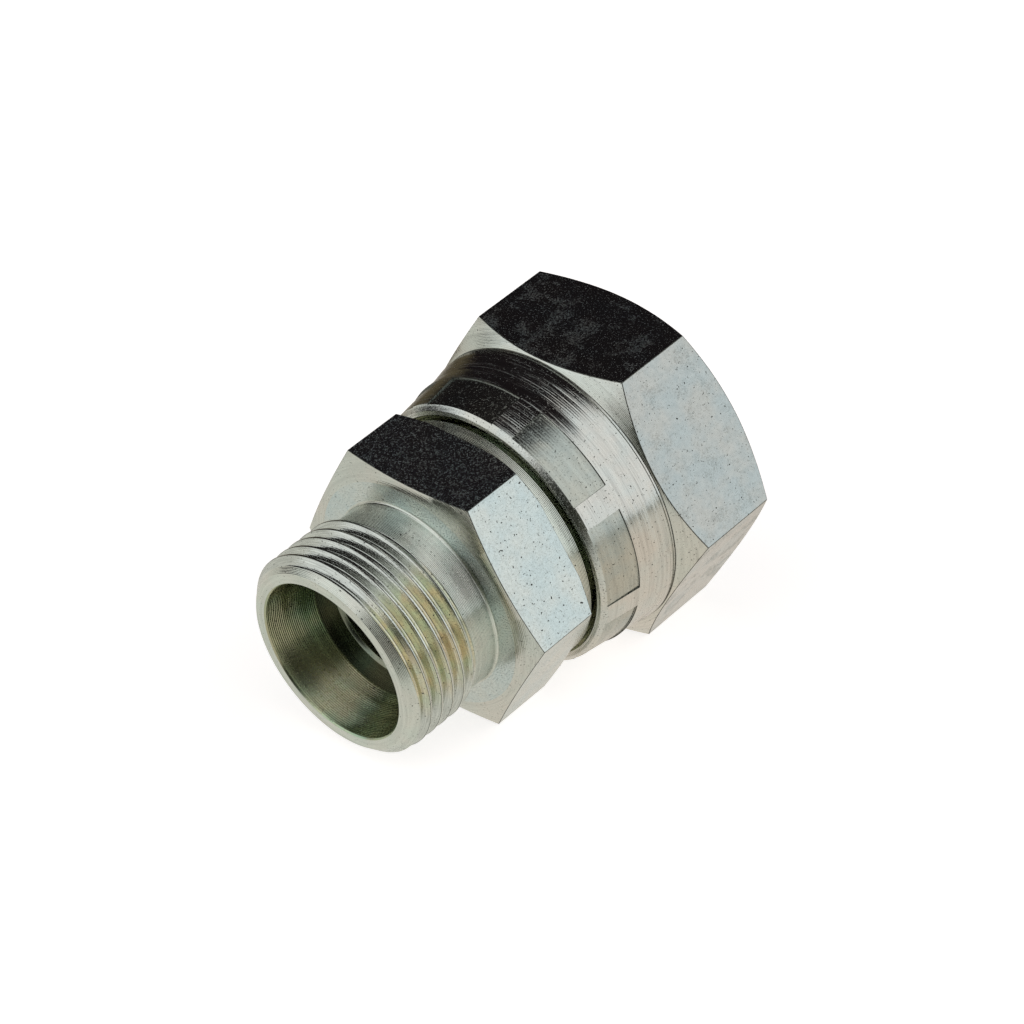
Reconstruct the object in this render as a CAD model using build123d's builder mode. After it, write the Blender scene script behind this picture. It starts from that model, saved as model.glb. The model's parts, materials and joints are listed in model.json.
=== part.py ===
"""Swivel tube fitting: a stud with a 24 degree cone, and a crimped swivel nut with a flat seal face.

The fitting is turned from hexagon bar and lies on a flat surface, z = 0. Each hexagon rests on the front
edge of one flat, and because the nut's hexagon is the larger, the fitting leans down to its stud end.
Distances along the fitting are measured on its turning axis from the stud's end face. Millimetres.
"""

import os
from math import atan2, cos, degrees, radians, sin, tan

from build123d import *

# ---- Stud end: metric thread outside, 24 degree cone and tube socket inside ----
stud_thread_diameter = 22.0
stud_length = 12.0  # end face to hexagon
stud_thread_length = 7.8  # end face to the last full crest
stud_chamfer = 1.15
neck_diameter = 20.4  # plain turned neck between thread and hexagon
neck_break = 0.3  # small cone where the neck meets the hexagon
thread_end_angle = 60.0  # slope of the last flank, from the axis
tube_diameter = 15.0
cone_mouth_diameter = 17.3
cone_angle = 24.0  # included angle
socket_depth = 7.0  # end face to the step that stops the tube
mouth_break = 0.15  # small chamfer on the cone's mouth
bore_diameter = 12.0
bore_break = 0.4

# ---- Body hexagon and the turned collar behind it ----
body_across_flats = 27.0
body_hex_length = 8.3
body_hex_face_diameter = 25.0  # flat ring inside the front corner chamfer
body_chamfer_angle = 15.0  # from the front face
body_back_face_diameter = 28.2  # inside the back corner chamfer
body_back_chamfer_angle = 28.0  # from the back face
collar_diameter = 26.9
collar_length = 1.55
collar_break = 0.15

# ---- Tail of the body, held inside the nut ----
flange_diameter = 26.0
flange_length = 3.85
flange_slope_angle = 45.0  # back of the flange and inside of the crimped lip
nose_length = 2.2
nose_break = 0.5  # chamfer round the sealing face

# ---- Swivel nut ----
nut_across_flats = 32.0
nut_hex_length = 12.6
nut_end_face_diameter = 30.4
nut_chamfer_angle = 34.0  # from the front face
nut_end_chamfer_angle = 30.0  # from the end face
nut_thread_diameter = 26.0
nut_thread_pitch = 1.5
nut_thread_depth = 12.5  # sealing face to the nut's end face
thread_run_in = 0.3  # sealing face to the first full thread
entry_diameter = 26.4  # countersink at the nut's open end
barrel_diameter = 31.6  # plain barrel next to the hexagon
barrel_land = 0.8  # plain length in front of the hexagon
skirt_diameter = 30.6  # at the back of the crimp marks
skirt_land = 1.5  # plain length behind the crimp marks
lip_diameter = 29.3  # crimped front end
lip_bore_diameter = 24.6  # holds the flange in
lip_mouth_diameter = 27.5
lip_length = 2.2
lip_break = 0.45

# ---- Crimp marks left by the jaws that closed the skirt ----
jaw_count = 8
jaw_arc = 35.0  # degrees that one jaw covers
jaw_length = 4.45  # lip to the back edge of a mark
jaw_depth_front = 0.06
jaw_depth_back = 0.15
jaw_start_angle = -10.0  # centre of the first mark, from the upper flat

# ---- Clearances of the swivel ----
running_clearance = 0.1  # flange in the nut, radial
groove_clearance = 0.3  # crimped lip over the groove, radial
end_play = 0.3  # crimped lip to the flange's back, along the axis
lip_gap = 0.4  # collar to the lip's front
nose_clearance = 0.3  # sealing nose inside the nut's thread, radial

# Extra length that a cutting profile runs past the metal it cuts.
overrun = 1.0

# ---- Stations along the axis ----
cone_depth = (cone_mouth_diameter - tube_diameter) / 2 / tan(radians(cone_angle / 2))
hex_end = stud_length + body_hex_length
collar_end = hex_end + collar_length
nut_start = collar_end + lip_gap
lip_end = nut_start + lip_length
jaw_end = nut_start + jaw_length

# ---- Radii of the swivel ----
flange_radius = flange_diameter / 2
lip_bore_radius = lip_bore_diameter / 2
groove_radius = lip_bore_radius - groove_clearance
chamber_radius = flange_radius + running_clearance
thread_core_radius = nut_thread_diameter / 2 - 0.5413 * nut_thread_pitch
nose_radius = thread_core_radius - nose_clearance

slope = tan(radians(flange_slope_angle))
slope_start = lip_end + end_play - groove_clearance / slope
flange_start = slope_start + (flange_radius - groove_radius) / slope
flange_end = flange_start + flange_length
seal_face = flange_end + nose_length
nut_end = seal_face + nut_thread_depth
nut_hex_start = nut_end - nut_hex_length
thread_start = seal_face + thread_run_in
chamber_end = thread_start - (chamber_radius - thread_core_radius)
entry_start = nut_end - (entry_diameter / 2 - thread_core_radius)


def chamfer_rise(angle, radius, face_radius):
    """Distance along the axis over which a corner chamfer grows from its end face to a radius."""
    return (radius - face_radius) * tan(radians(angle))


# ---- How the fitting lies ----
# The chamfer cones cut each flat back to a curve. Its foremost point is where that flat touches down.
body_touch = stud_length + chamfer_rise(
    body_chamfer_angle, body_across_flats / 2, body_hex_face_diameter / 2
)
nut_touch = nut_hex_start + chamfer_rise(nut_chamfer_angle, nut_across_flats / 2, barrel_diameter / 2)
lean = atan2((nut_across_flats - body_across_flats) / 2, nut_touch - body_touch)

axis_height = nut_across_flats / 2 * cos(lean) - nut_touch * sin(lean)
rim_radius = stud_thread_diameter / 2 - stud_chamfer
# The stud rim's upper edge and the nut end face's lower edge reach furthest along x.
front_reach = rim_radius * sin(lean)
back_reach = nut_end * cos(lean) + nut_end_face_diameter / 2 * sin(lean)

end_centre = Vector((front_reach - back_reach) / 2, 0, axis_height)
axis_dir = Vector(cos(lean), 0, sin(lean))
turning_axis = Axis(end_centre, axis_dir)
# Plane of the turned outlines: x along the fitting, y outwards from its axis, towards the upper flats.
section = Plane(origin=end_centre, x_dir=axis_dir, z_dir=(0, -1, 0))


def station(distance):
    """Plane square to the fitting's axis, its x level, at a distance from the stud's end face."""
    return Plane(origin=end_centre + axis_dir * distance, x_dir=(0, 1, 0), z_dir=axis_dir)


def coned_prism_outline(start, end, front_radius, back_radius, front_angle, back_angle, corner_radius):
    """Half outline of the turned blank that chamfers a hexagon's corners at both ends."""
    outer = corner_radius + overrun
    return [
        (start, 0),
        (start, front_radius),
        (start + chamfer_rise(front_angle, outer, front_radius), outer),
        (end - chamfer_rise(back_angle, outer, back_radius), outer),
        (end, back_radius),
        (end, 0),
    ]


# ---- Adapter body: stud, hexagon, collar and tail, turned from one piece of hexagon bar ----
body_corner_radius = body_across_flats / 2 / cos(radians(30))
collar_radius = collar_diameter / 2
neck_radius = neck_diameter / 2
stud_radius = stud_thread_diameter / 2
thread_runout = (stud_radius - neck_radius) / tan(radians(thread_end_angle))

with BuildPart() as adapter_body:
    # Hexagon with its corners chamfered back to a flat ring at either end.
    with BuildSketch(station(stud_length)):
        RegularPolygon(body_across_flats / 2, 6, major_radius=False)
    extrude(amount=body_hex_length)
    with BuildSketch(section):
        with BuildLine():
            Polyline(
                coned_prism_outline(
                    stud_length,
                    hex_end,
                    body_hex_face_diameter / 2,
                    body_back_face_diameter / 2,
                    body_chamfer_angle,
                    body_back_chamfer_angle,
                    body_corner_radius,
                ),
                close=True,
            )
        make_face()
    revolve(axis=turning_axis, mode=Mode.INTERSECT)

    # Stud: chamfered rim, thread at its full diameter, and a plain neck up to the hexagon.
    with BuildSketch(section):
        with BuildLine():
            Polyline(
                (0, 0),
                (0, rim_radius),
                (stud_chamfer, stud_radius),
                (stud_thread_length, stud_radius),
                (stud_thread_length + thread_runout, neck_radius),
                (stud_length - neck_break, neck_radius),
                (stud_length, neck_radius + neck_break),
                (stud_length + overrun, neck_radius + neck_break),
                (stud_length + overrun, 0),
                close=True,
            )
        make_face()
    revolve(axis=turning_axis)

    # Tail: collar, retaining groove, sloped flange and sealing nose.
    with BuildSketch(section):
        with BuildLine():
            Polyline(
                (hex_end - overrun, 0),
                (hex_end - overrun, collar_radius),
                (collar_end - collar_break, collar_radius),
                (collar_end, collar_radius - collar_break),
                (collar_end, groove_radius),
                (slope_start, groove_radius),
                (flange_start, flange_radius),
                (flange_end, flange_radius),
                (flange_end, nose_radius),
                (seal_face - nose_break, nose_radius),
                (seal_face, nose_radius - nose_break),
                (seal_face, 0),
                close=True,
            )
        make_face()
    revolve(axis=turning_axis)

    # Inside: cone for the cutting ring, socket for the tube, step that stops it, and the flow bore.
    with BuildSketch(section):
        with BuildLine():
            mouth_radius = cone_mouth_diameter / 2
            tube_radius = tube_diameter / 2
            bore_radius = bore_diameter / 2
            Polyline(
                (-overrun, 0),
                (-overrun, mouth_radius + mouth_break),
                (0, mouth_radius + mouth_break),
                (mouth_break, mouth_radius),
                (cone_depth, tube_radius),
                (socket_depth, tube_radius),
                (socket_depth, bore_radius),
                (seal_face - bore_break, bore_radius),
                (seal_face, bore_radius + bore_break),
                (seal_face + overrun, bore_radius + bore_break),
                (seal_face + overrun, 0),
                close=True,
            )
        make_face()
    revolve(axis=turning_axis, mode=Mode.SUBTRACT)

# ---- Swivel nut: hexagon, barrel and a skirt crimped over the body's flange ----
nut_corner_radius = nut_across_flats / 2 / cos(radians(30))
barrel_radius = barrel_diameter / 2
skirt_radius = skirt_diameter / 2
lip_radius = lip_diameter / 2
entry_radius = entry_diameter / 2
skirt_end = jaw_end + skirt_land

with BuildPart() as swivel_nut:
    # Hexagon with its corners chamfered back to the barrel and to the end face.
    with BuildSketch(station(nut_hex_start)):
        RegularPolygon(nut_across_flats / 2, 6, major_radius=False)
    extrude(amount=nut_hex_length)
    with BuildSketch(section):
        with BuildLine():
            Polyline(
                coned_prism_outline(
                    nut_hex_start,
                    nut_end,
                    barrel_radius,
                    nut_end_face_diameter / 2,
                    nut_chamfer_angle,
                    nut_end_chamfer_angle,
                    nut_corner_radius,
                ),
                close=True,
            )
        make_face()
    revolve(axis=turning_axis, mode=Mode.INTERSECT)

    # Barrel, drawn in towards the crimped lip.
    with BuildSketch(section):
        with BuildLine():
            Polyline(
                (nut_start, 0),
                (nut_start, lip_radius - lip_break),
                (nut_start + lip_break, lip_radius),
                (jaw_end, skirt_radius),
                (skirt_end, skirt_radius),
                (nut_hex_start - barrel_land, barrel_radius),
                (nut_hex_start + overrun, barrel_radius),
                (nut_hex_start + overrun, 0),
                close=True,
            )
        make_face()
    revolve(axis=turning_axis)

    # Crimp marks: a shallow sector per jaw, deepest at its back edge.
    for jaw in range(jaw_count):
        jaw_angle = jaw_start_angle + jaw * 360 / jaw_count - jaw_arc / 2
        with BuildSketch(section.rotated((jaw_angle, 0, 0))):
            with BuildLine():
                Polyline(
                    (nut_start - overrun, lip_radius - jaw_depth_front),
                    (nut_start + lip_break, lip_radius - jaw_depth_front),
                    (jaw_end, skirt_radius - jaw_depth_back),
                    (jaw_end, skirt_radius + overrun),
                    (nut_start - overrun, skirt_radius + overrun),
                    close=True,
                )
            make_face()
        revolve(axis=turning_axis, revolution_arc=jaw_arc, mode=Mode.SUBTRACT)

    # Inside: countersunk lip, chamber that the flange turns in, thread core and entry countersink.
    with BuildSketch(section):
        with BuildLine():
            lip_mouth_radius = lip_mouth_diameter / 2
            Polyline(
                (nut_start - overrun, 0),
                (nut_start - overrun, lip_mouth_radius),
                (nut_start, lip_mouth_radius),
                (nut_start + lip_mouth_radius - lip_bore_radius, lip_bore_radius),
                (lip_end, lip_bore_radius),
                (lip_end + (chamber_radius - lip_bore_radius) / slope, chamber_radius),
                (chamber_end, chamber_radius),
                (thread_start, thread_core_radius),
                (entry_start, thread_core_radius),
                (nut_end, entry_radius),
                (nut_end + overrun, entry_radius),
                (nut_end + overrun, 0),
                close=True,
            )
        make_face()
    revolve(axis=turning_axis, mode=Mode.SUBTRACT)

# ---- Export ----
adapter_body.part.label = "adapter_body"
swivel_nut.part.label = "swivel_nut"

os.makedirs("parts", exist_ok=True)
export_step(adapter_body.part, "parts/adapter_body.step")
export_step(swivel_nut.part, "parts/swivel_nut.step")

print(f"lean {degrees(lean):.2f} deg, axis height at the end face {axis_height:.3f}, length {nut_end:.2f}")
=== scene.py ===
"""Dressed model of a swivel tube fitting: a turned adapter body and a crimped swivel nut.

Each piece is modelled on the bench, standing on the stud's end face with its turning axis along Z,
and is then laid where the frame says. Bench lengths are millimetres. A station is a height on the
bench.
"""

import json
import logging
import math
from dataclasses import dataclass
from enum import Enum
from typing import Any, Callable, Optional, Union

import bpy
from mathutils import Matrix, Vector


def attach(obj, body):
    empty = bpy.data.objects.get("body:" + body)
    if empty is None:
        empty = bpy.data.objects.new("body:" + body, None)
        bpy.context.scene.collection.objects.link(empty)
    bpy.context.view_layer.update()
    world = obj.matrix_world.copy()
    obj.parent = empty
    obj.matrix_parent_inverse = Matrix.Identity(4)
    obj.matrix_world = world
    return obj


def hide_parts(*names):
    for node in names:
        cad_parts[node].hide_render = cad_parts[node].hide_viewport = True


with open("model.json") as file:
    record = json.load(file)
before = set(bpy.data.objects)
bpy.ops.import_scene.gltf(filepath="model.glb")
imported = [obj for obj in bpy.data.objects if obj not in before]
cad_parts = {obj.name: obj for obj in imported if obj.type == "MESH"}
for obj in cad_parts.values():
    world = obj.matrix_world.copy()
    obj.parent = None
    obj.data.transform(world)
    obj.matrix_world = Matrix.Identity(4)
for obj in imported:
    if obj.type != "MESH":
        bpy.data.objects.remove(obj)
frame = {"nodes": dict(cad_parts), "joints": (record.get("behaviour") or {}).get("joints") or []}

log = logging.getLogger("fitting")

Piece = bpy.types.Object
Material = bpy.types.Material
Tree = bpy.types.NodeTree
Node = bpy.types.Node
Feed = Union[bpy.types.Node, bpy.types.NodeSocket]  # what a node's input may be linked to

MM = 0.001
TURN_FACETS = 256  # facets in a full turn
HALF_FACET = 180 / TURN_FACETS  # degrees; keeps a facet's edge off the hexagon's corners
ARC_STEPS = 4  # steps in the arc that rounds one corner of an outline
MERGE_DISTANCE = 0.0001  # mm within which two points of a piece are one
NOISE_LOW, NOISE_HIGH = 0.3, 0.7  # between which noise mostly lies
NOISE_MIN, NOISE_MAX = 0.28, 0.72  # beyond which it hardly ever goes
NOISE_GRAIN = 0.6  # how much of each noise is fine detail
HEX_CORNER = math.cos(math.radians(30))  # a hexagon's across flats over its across corners
SHARP_HEIGHT = 0.866  # height of a metric thread's sharp triangle, over the pitch
SMOOTH_ANGLE = 32.0  # degrees between two faces up to which they shade as one surface
UPPER_FLAT_ANGLE = 90.0  # degrees from +X on the bench


# ---- bench and frame


def turning_frame() -> Matrix:
    """Finds where the fitting lies from its swivel joint and the body's lowest station.

    Returns:
        The matrix from bench millimetres to the frame's metres.
    """
    joint = frame["joints"][0]
    point = Vector(joint["pos_m"])
    along = Vector(joint["axis"]).normalized()
    body = frame["nodes"]["adapter_body"]
    first = min((vertex.co - point).dot(along) for vertex in body.data.vertices)
    left = Vector((0, 1, 0))
    upper_flat = along.cross(left)
    rotation = Matrix((left, upper_flat, along)).transposed().to_4x4()
    return Matrix.Translation(point + along * first) @ rotation @ Matrix.Scale(MM, 4)


BENCH_TO_FRAME = turning_frame()


@dataclass(frozen=True)
class Corner:
    """A corner of a turned outline, with the radius that rounds it."""

    station: float
    radius: float
    rounding: float = 0.0


def rounded(corners: list[Corner]) -> list[Vector]:
    """Replaces each rounded corner of a closed outline by an arc.

    Args:
        corners: the outline's corners in order.

    Returns:
        The outline's points, as (radius, 0, station).
    """
    points = []
    for index, corner in enumerate(corners):
        here = Vector((corner.radius, corner.station))
        if not corner.rounding:
            points.append(Vector((here.x, 0, here.y)))
            continue
        before, after = corners[index - 1], corners[(index + 1) % len(corners)]
        back = (Vector((before.radius, before.station)) - here).normalized()
        ahead = (Vector((after.radius, after.station)) - here).normalized()
        half = back.angle(ahead) / 2
        middle = here + (back + ahead).normalized() * corner.rounding / math.sin(half)
        start = here + back * corner.rounding / math.tan(half) - middle
        turn = start.angle_signed(here + ahead * corner.rounding / math.tan(half) - middle)
        for step in range(ARC_STEPS + 1):
            arm = start.copy()
            arm.rotate(Matrix.Rotation(-turn * step / ARC_STEPS, 2))
            points.append(Vector((middle.x + arm.x, 0, middle.y + arm.y)))
    return points


# ---- bench tools


class Cut(Enum):
    """What a tool does to the piece that it meets."""

    REMOVE = "DIFFERENCE"
    ADD = "UNION"
    KEEP_COMMON = "INTERSECT"


def draw(points: list[Vector]) -> Piece:
    """Draws a closed flat outline point by point, as one face.

    Args:
        points: the outline, in bench millimetres.

    Returns:
        The object, left in edit mode with all of it selected.
    """
    bpy.ops.object.select_all(action="DESELECT")
    bpy.ops.mesh.primitive_plane_add(size=1)
    outline = bpy.context.object
    bpy.ops.object.mode_set(mode="EDIT")
    bpy.ops.mesh.merge(type="CENTER")
    bpy.ops.transform.translate(value=points[0])
    for start, end in zip(points, points[1:]):
        bpy.ops.mesh.extrude_region_move(TRANSFORM_OT_translate={"value": end - start})
    bpy.ops.mesh.select_all(action="SELECT")
    bpy.ops.mesh.edge_face_add()
    return outline


def close_up(piece: Piece, material: Material) -> Piece:
    """Merges doubles, turns faces outwards, leaves edit mode and gives the piece its finish.

    Args:
        piece: the piece, in edit mode.
        material: its finish.

    Returns:
        The piece.
    """
    bpy.ops.mesh.select_all(action="SELECT")
    bpy.ops.mesh.remove_doubles(threshold=MERGE_DISTANCE)
    bpy.ops.mesh.normals_make_consistent(inside=False)
    bpy.ops.object.mode_set(mode="OBJECT")
    piece.data.materials.clear()
    piece.data.materials.append(material)
    return piece


def turned(
    corners: list[Corner],
    material: Material,
    sweep: float = 360.0,
    start: float = 0.0,
) -> Piece:
    """Turns a closed outline about the axis.

    Args:
        corners: the outline, which stays clear of the axis.
        material: the finish of the turned surface.
        sweep: degrees that the outline is swept through.
        start: degrees from +X at which the sweep starts.

    Returns:
        The turned solid, a ring or a sector of one.
    """
    piece = draw(rounded(corners))
    if sweep == 360.0:
        bpy.ops.mesh.delete(type="ONLY_FACE")
        bpy.ops.mesh.select_all(action="SELECT")
    bpy.ops.transform.rotate(
        value=math.radians(-start), orient_axis="Z", center_override=(0, 0, 0)
    )
    bpy.ops.mesh.spin(
        steps=max(2, round(TURN_FACETS * sweep / 360)),
        angle=math.radians(-sweep),  # a positive spin turns clockwise about +Z
        center=(0, 0, 0),
        axis=(0, 0, 1),
    )
    return close_up(piece, material)


def helix(corners: list[Corner], pitch: float, turns: int, material: Material) -> Piece:
    """Sweeps a closed outline along a helix about the axis, as a thread tool moves.

    Args:
        corners: the tool's outline at the start of the thread.
        pitch: rise of the helix in one turn.
        turns: whole turns.
        material: the finish that the tool leaves.

    Returns:
        The swept solid, with both ends closed.
    """
    piece = draw(rounded(corners))
    bpy.ops.mesh.delete(type="ONLY_FACE")
    bpy.ops.object.mode_set(mode="OBJECT")
    sweep = piece.modifiers.new("sweep", "SCREW")
    sweep.axis = "Z"
    sweep.screw_offset = pitch
    sweep.iterations = turns
    sweep.steps = sweep.render_steps = TURN_FACETS // 2
    bpy.ops.object.modifier_apply(modifier=sweep.name)
    bpy.ops.object.mode_set(mode="EDIT")
    bpy.ops.mesh.select_all(action="SELECT")
    bpy.ops.mesh.remove_doubles(threshold=MERGE_DISTANCE)
    bpy.ops.mesh.select_all(action="DESELECT")
    bpy.ops.mesh.select_non_manifold()
    bpy.ops.mesh.fill_holes(sides=0)
    return close_up(piece, material)


def work(piece: Piece, tool: Piece, cut: Cut) -> None:
    """Cuts the piece with a tool, or welds it on, and clears the tool away.

    Args:
        piece: the piece on the bench.
        tool: the solid that meets it, which is used up.
        cut: what becomes of the piece.
    """
    bpy.ops.object.select_all(action="DESELECT")
    bpy.context.view_layer.objects.active = piece
    piece.select_set(True)
    step = piece.modifiers.new("work", "BOOLEAN")
    step.object = tool
    step.operation = cut.value
    step.solver = "MANIFOLD"
    step.material_mode = "TRANSFER"
    bpy.ops.object.modifier_apply(modifier=step.name)
    bpy.data.objects.remove(tool)


def refinish(
    piece: Piece,
    material: Material,
    chosen: Callable[[bpy.types.MeshPolygon], bool],
) -> None:
    """Gives some faces of a piece or a tool another finish.

    Args:
        piece: the piece or tool on the bench.
        material: the finish.
        chosen: says of a face whether it gets the finish.
    """
    piece.data.materials.append(material)
    for face in piece.data.polygons:
        if chosen(face):
            face.material_index = len(piece.data.materials) - 1


def lay_in_frame(piece: Piece, body: str, node: str) -> None:
    """Lays a finished piece where the frame has it, in place of its CAD node.

    Args:
        piece: the piece, still on the bench.
        body: the CAD body that it rides on.
        node: the CAD node that it stands for.
    """
    bpy.ops.object.select_all(action="DESELECT")
    bpy.context.view_layer.objects.active = piece
    piece.select_set(True)
    piece.matrix_world = BENCH_TO_FRAME
    bpy.ops.object.transform_apply(location=True, rotation=True, scale=True)
    bpy.ops.object.shade_smooth_by_angle(angle=math.radians(SMOOTH_ANGLE))
    even = piece.modifiers.new("even", "WEIGHTED_NORMAL")
    even.keep_sharp = True
    bpy.ops.object.modifier_apply(modifier=even.name)
    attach(piece, body)
    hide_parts(node)
    log.info("%s: %d faces, for %s on %s", piece.name, len(piece.data.polygons), node, body)


# ---- nodes


def linear(colour: str) -> tuple[float, float, float, float]:
    """Turns an sRGB hex colour to linear light.

    Args:
        colour: six hex digits.

    Returns:
        Linear red, green and blue, and an alpha of one.
    """
    channels = (int(colour[i : i + 2], 16) / 255 for i in (0, 2, 4))
    red, green, blue = (
        c / 12.92 if c <= 0.04045 else ((c + 0.055) / 1.055) ** 2.4 for c in channels
    )
    return red, green, blue, 1.0


def add(
    tree: Tree, kind: str, inputs: Optional[dict[Any, Any]] = None, **settings: Any
) -> Node:
    """Adds a node with its settings, its plain values and its links.

    Args:
        tree: the node tree.
        kind: the node's type, without the ShaderNode that all of them begin with.
        inputs: for each socket a plain value, the output that feeds it, or a node, which feeds it
            from the first output that its settings leave open.
        settings: the node's own properties.

    Returns:
        The node.
    """
    node = tree.nodes.new("ShaderNode" + kind)
    for name, value in settings.items():
        setattr(node, name, value)
    for socket, value in (inputs or {}).items():
        if isinstance(value, bpy.types.Node):
            value = next(output for output in value.outputs if output.enabled)
        if isinstance(value, bpy.types.NodeSocket):
            tree.links.new(value, node.inputs[socket])
        else:
            node.inputs[socket].default_value = value
    return node


def rise(tree: Tree, value: Feed, first: float, last: float, top: float = 1.0) -> Node:
    """Works out a mask that rises smoothly between two values.

    Args:
        tree: the node tree.
        value: what the mask follows.
        first: the value up to which the mask is 0.
        last: the value from which the mask is full.
        top: the full mask.

    Returns:
        The mask.
    """
    return add(
        tree,
        "MapRange",
        {"Value": value, "From Min": first, "From Max": last, "To Max": top},
        interpolation_type="SMOOTHSTEP",
    )


def heading(azimuth: float, elevation: float) -> tuple[float, float, float]:
    """Turns angles to a direction.

    Args:
        azimuth: degrees from +X towards -Y.
        elevation: degrees above the horizon.

    Returns:
        The direction, one unit long.
    """
    across, up = math.radians(azimuth), math.radians(elevation)
    return math.cos(up) * math.cos(across), -math.cos(up) * math.sin(across), math.sin(up)


def within(
    tree: Tree,
    way: Feed,
    middle: tuple[float, float, float],
    reach: float,
    edge: float,
    top: float = 1.0,
) -> Node:
    """Works out a mask of the directions that lie near another.

    Args:
        tree: the node tree.
        way: directions, one unit long.
        middle: the direction at the middle of the mask.
        reach: degrees from the middle to where the mask is half.
        edge: degrees to either side of that over which the mask falls.
        top: the full mask.

    Returns:
        The mask.
    """
    near = add(tree, "VectorMath", {0: way, 1: middle}, operation="DOT_PRODUCT")
    first, last = (math.cos(math.radians(angle)) for angle in (reach + edge, reach - edge))
    return rise(tree, near, first, last, top)


# ---- finishes


@dataclass
class Patterns:
    """What a finish is mixed from: places, and noise that follows them."""

    bench: Feed
    across: Feed  # distance across the marks
    scratches: Feed
    bands: Feed  # that the scratches lie in
    specks: Feed
    scuffs: Feed
    patches: Feed
    pits: Feed


@dataclass(frozen=True)
class PlatedSteel:
    """Carbon steel, bright zinc plated, with a thin clear passivation that leans to blue or yellow.

    The plating follows the cut metal, so the marks of the tool show through. Dull specks scatter
    light where the zinc grew coarse, and the film shifts the colour from place to place. Lengths
    are millimetres and shares run from 0 to 1.
    """

    name: str
    tint: str
    films: tuple[str, str]  # its cool and its warm colour
    roughness: float
    ringed: bool = True  # whether the marks run in rings round the axis
    face_share: float = 0.6  # spacing of the marks up a skin over their spacing across a face
    turn_share: float = 0.5  # how fast a mark changes along its ring
    film_share: float = 0.5
    film_size: float = 4.0  # size of the film's patches
    painted_sheen_angle: Optional[float] = None  # degrees on the bench about which the film is strong, as a painted yellow sheen on that side
    painted_sheen_reach: float = 30.0  # degrees to either side
    feed: tuple[float, float] = (0.3, 0.0)  # spacing and depth of the even ridges of a tool's feed
    scratches: tuple[float, float] = (0.3, 0.01)  # spacing and depth of the uneven lines
    painted_line_shade: float = 0.1  # how much painted shade darkens the deepest lines; half as much painted light lifts the others
    line_dull: float = 0.0  # share of the lines that are rough
    specks: tuple[float, float, float] = (0.2, 0.15, 0.002)  # size, share and depth, all dull
    dull_roughness: float = 0.5
    scuff_share: float = 0.0  # share of the surface that is rubbed dull
    pits: tuple[float, float] = (0.22, 0.01)  # size and share of the dark pits
    pit_colour: str = "3A3A36"

    def material(self) -> Material:
        """Finds the finish among the materials, or builds it there.

        Returns:
            The material.
        """
        made = bpy.data.materials.get(self.name)
        if made:
            return made
        made = bpy.data.materials.new(self.name)
        made.use_nodes = True
        tree = made.node_tree
        tree.nodes.clear()
        patterns = self.patterns(tree)
        shader = add(
            tree,
            "BsdfPrincipled",
            {
                "Base Color": self.colour(tree, patterns),
                "Metallic": 1.0,
                "Roughness": self.dullness(tree, patterns),
                "Normal": self.relief(tree, patterns),
            },
        )
        add(tree, "OutputMaterial", {"Surface": shader})
        return made

    def patterns(self, tree: Tree) -> Patterns:
        """Lays out the noise that the finish is mixed from.

        Args:
            tree: the node tree.

        Returns:
            The patterns.
        """
        bench = self.bench_place(tree)
        across, lines = self.mark_place(tree, bench)
        noises = (
            add(
                tree,
                "TexNoise",
                {"Vector": place, "Scale": 1 / size, "Detail": detail, "Roughness": NOISE_GRAIN},
            )
            for place, size, detail in (
                (lines, self.scratches[0], 3.0),
                (lines, 5 * self.scratches[0], 1.0),
                (bench, self.specks[0], 2.0),
                (bench, 12 * self.specks[0], 5.0),
                (bench, self.film_size, 3.0),
                (bench, self.pits[0], 1.0),
            )
        )
        return Patterns(bench, across, *noises)

    def colour(self, tree: Tree, patterns: Patterns) -> Node:
        """Works out the colour: zinc, the film over it, lines with painted shade and painted light,
        and dark pits.

        Args:
            tree: the node tree.
            patterns: what it is mixed from.

        Returns:
            The colour.
        """
        cool, warm = (linear(film) for film in self.films)
        warmth = self.cover(tree, patterns.patches, 0.5, edge=0.24)
        film = add(tree, "Mix", {0: warmth, 6: cool, 7: warm}, data_type="RGBA")
        # The film's share, which on the thread is a painted sheen kept to one side.
        share = self.film_and_painted_sheen_mask(tree, patterns.bench)
        tinted = add(tree, "Mix", {0: share, 6: linear(self.tint), 7: film}, data_type="RGBA")
        # Painted shade and light: the deepest lines are darkened and the others lifted, in place of
        # how the grooves shade and catch the light.
        shade = add(
            tree,
            "MapRange",
            {
                "Value": patterns.scratches,
                "From Min": NOISE_LOW,
                "From Max": NOISE_HIGH,
                "To Min": 1 - self.painted_line_shade,
                "To Max": 1 + self.painted_line_shade / 2,
            },
        )
        lined = add(tree, "VectorMath", {0: tinted, "Scale": shade}, operation="SCALE")
        pitted = self.cover(tree, patterns.pits, self.pits[1], edge=0.04)
        pit = linear(self.pit_colour)
        return add(tree, "Mix", {0: pitted, 6: lined, 7: pit}, data_type="RGBA")

    def dullness(self, tree: Tree, patterns: Patterns) -> Node:
        """Works out the roughness, which is higher on specks, scuffs and torn lines.

        Args:
            tree: the node tree.
            patterns: what it is mixed from.

        Returns:
            The roughness.
        """
        dull = self.cover(tree, patterns.specks, self.specks[1], edge=0.07)
        scuffed = self.cover(tree, patterns.scuffs, self.scuff_share, edge=0.06)
        grain = self.cover(tree, patterns.specks, 0.5, edge=0.2)
        torn = self.cover(tree, patterns.scratches, self.line_dull, edge=0.12)
        for mask, scale in ((scuffed, grain), (torn, 0.7)):
            other = add(tree, "Math", {0: mask, 1: scale}, operation="MULTIPLY")
            dull = add(tree, "Math", {0: dull, 1: other}, operation="MAXIMUM")
        ends = {"Value": dull, "To Min": self.roughness, "To Max": self.dull_roughness}
        return add(tree, "MapRange", ends)

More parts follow.
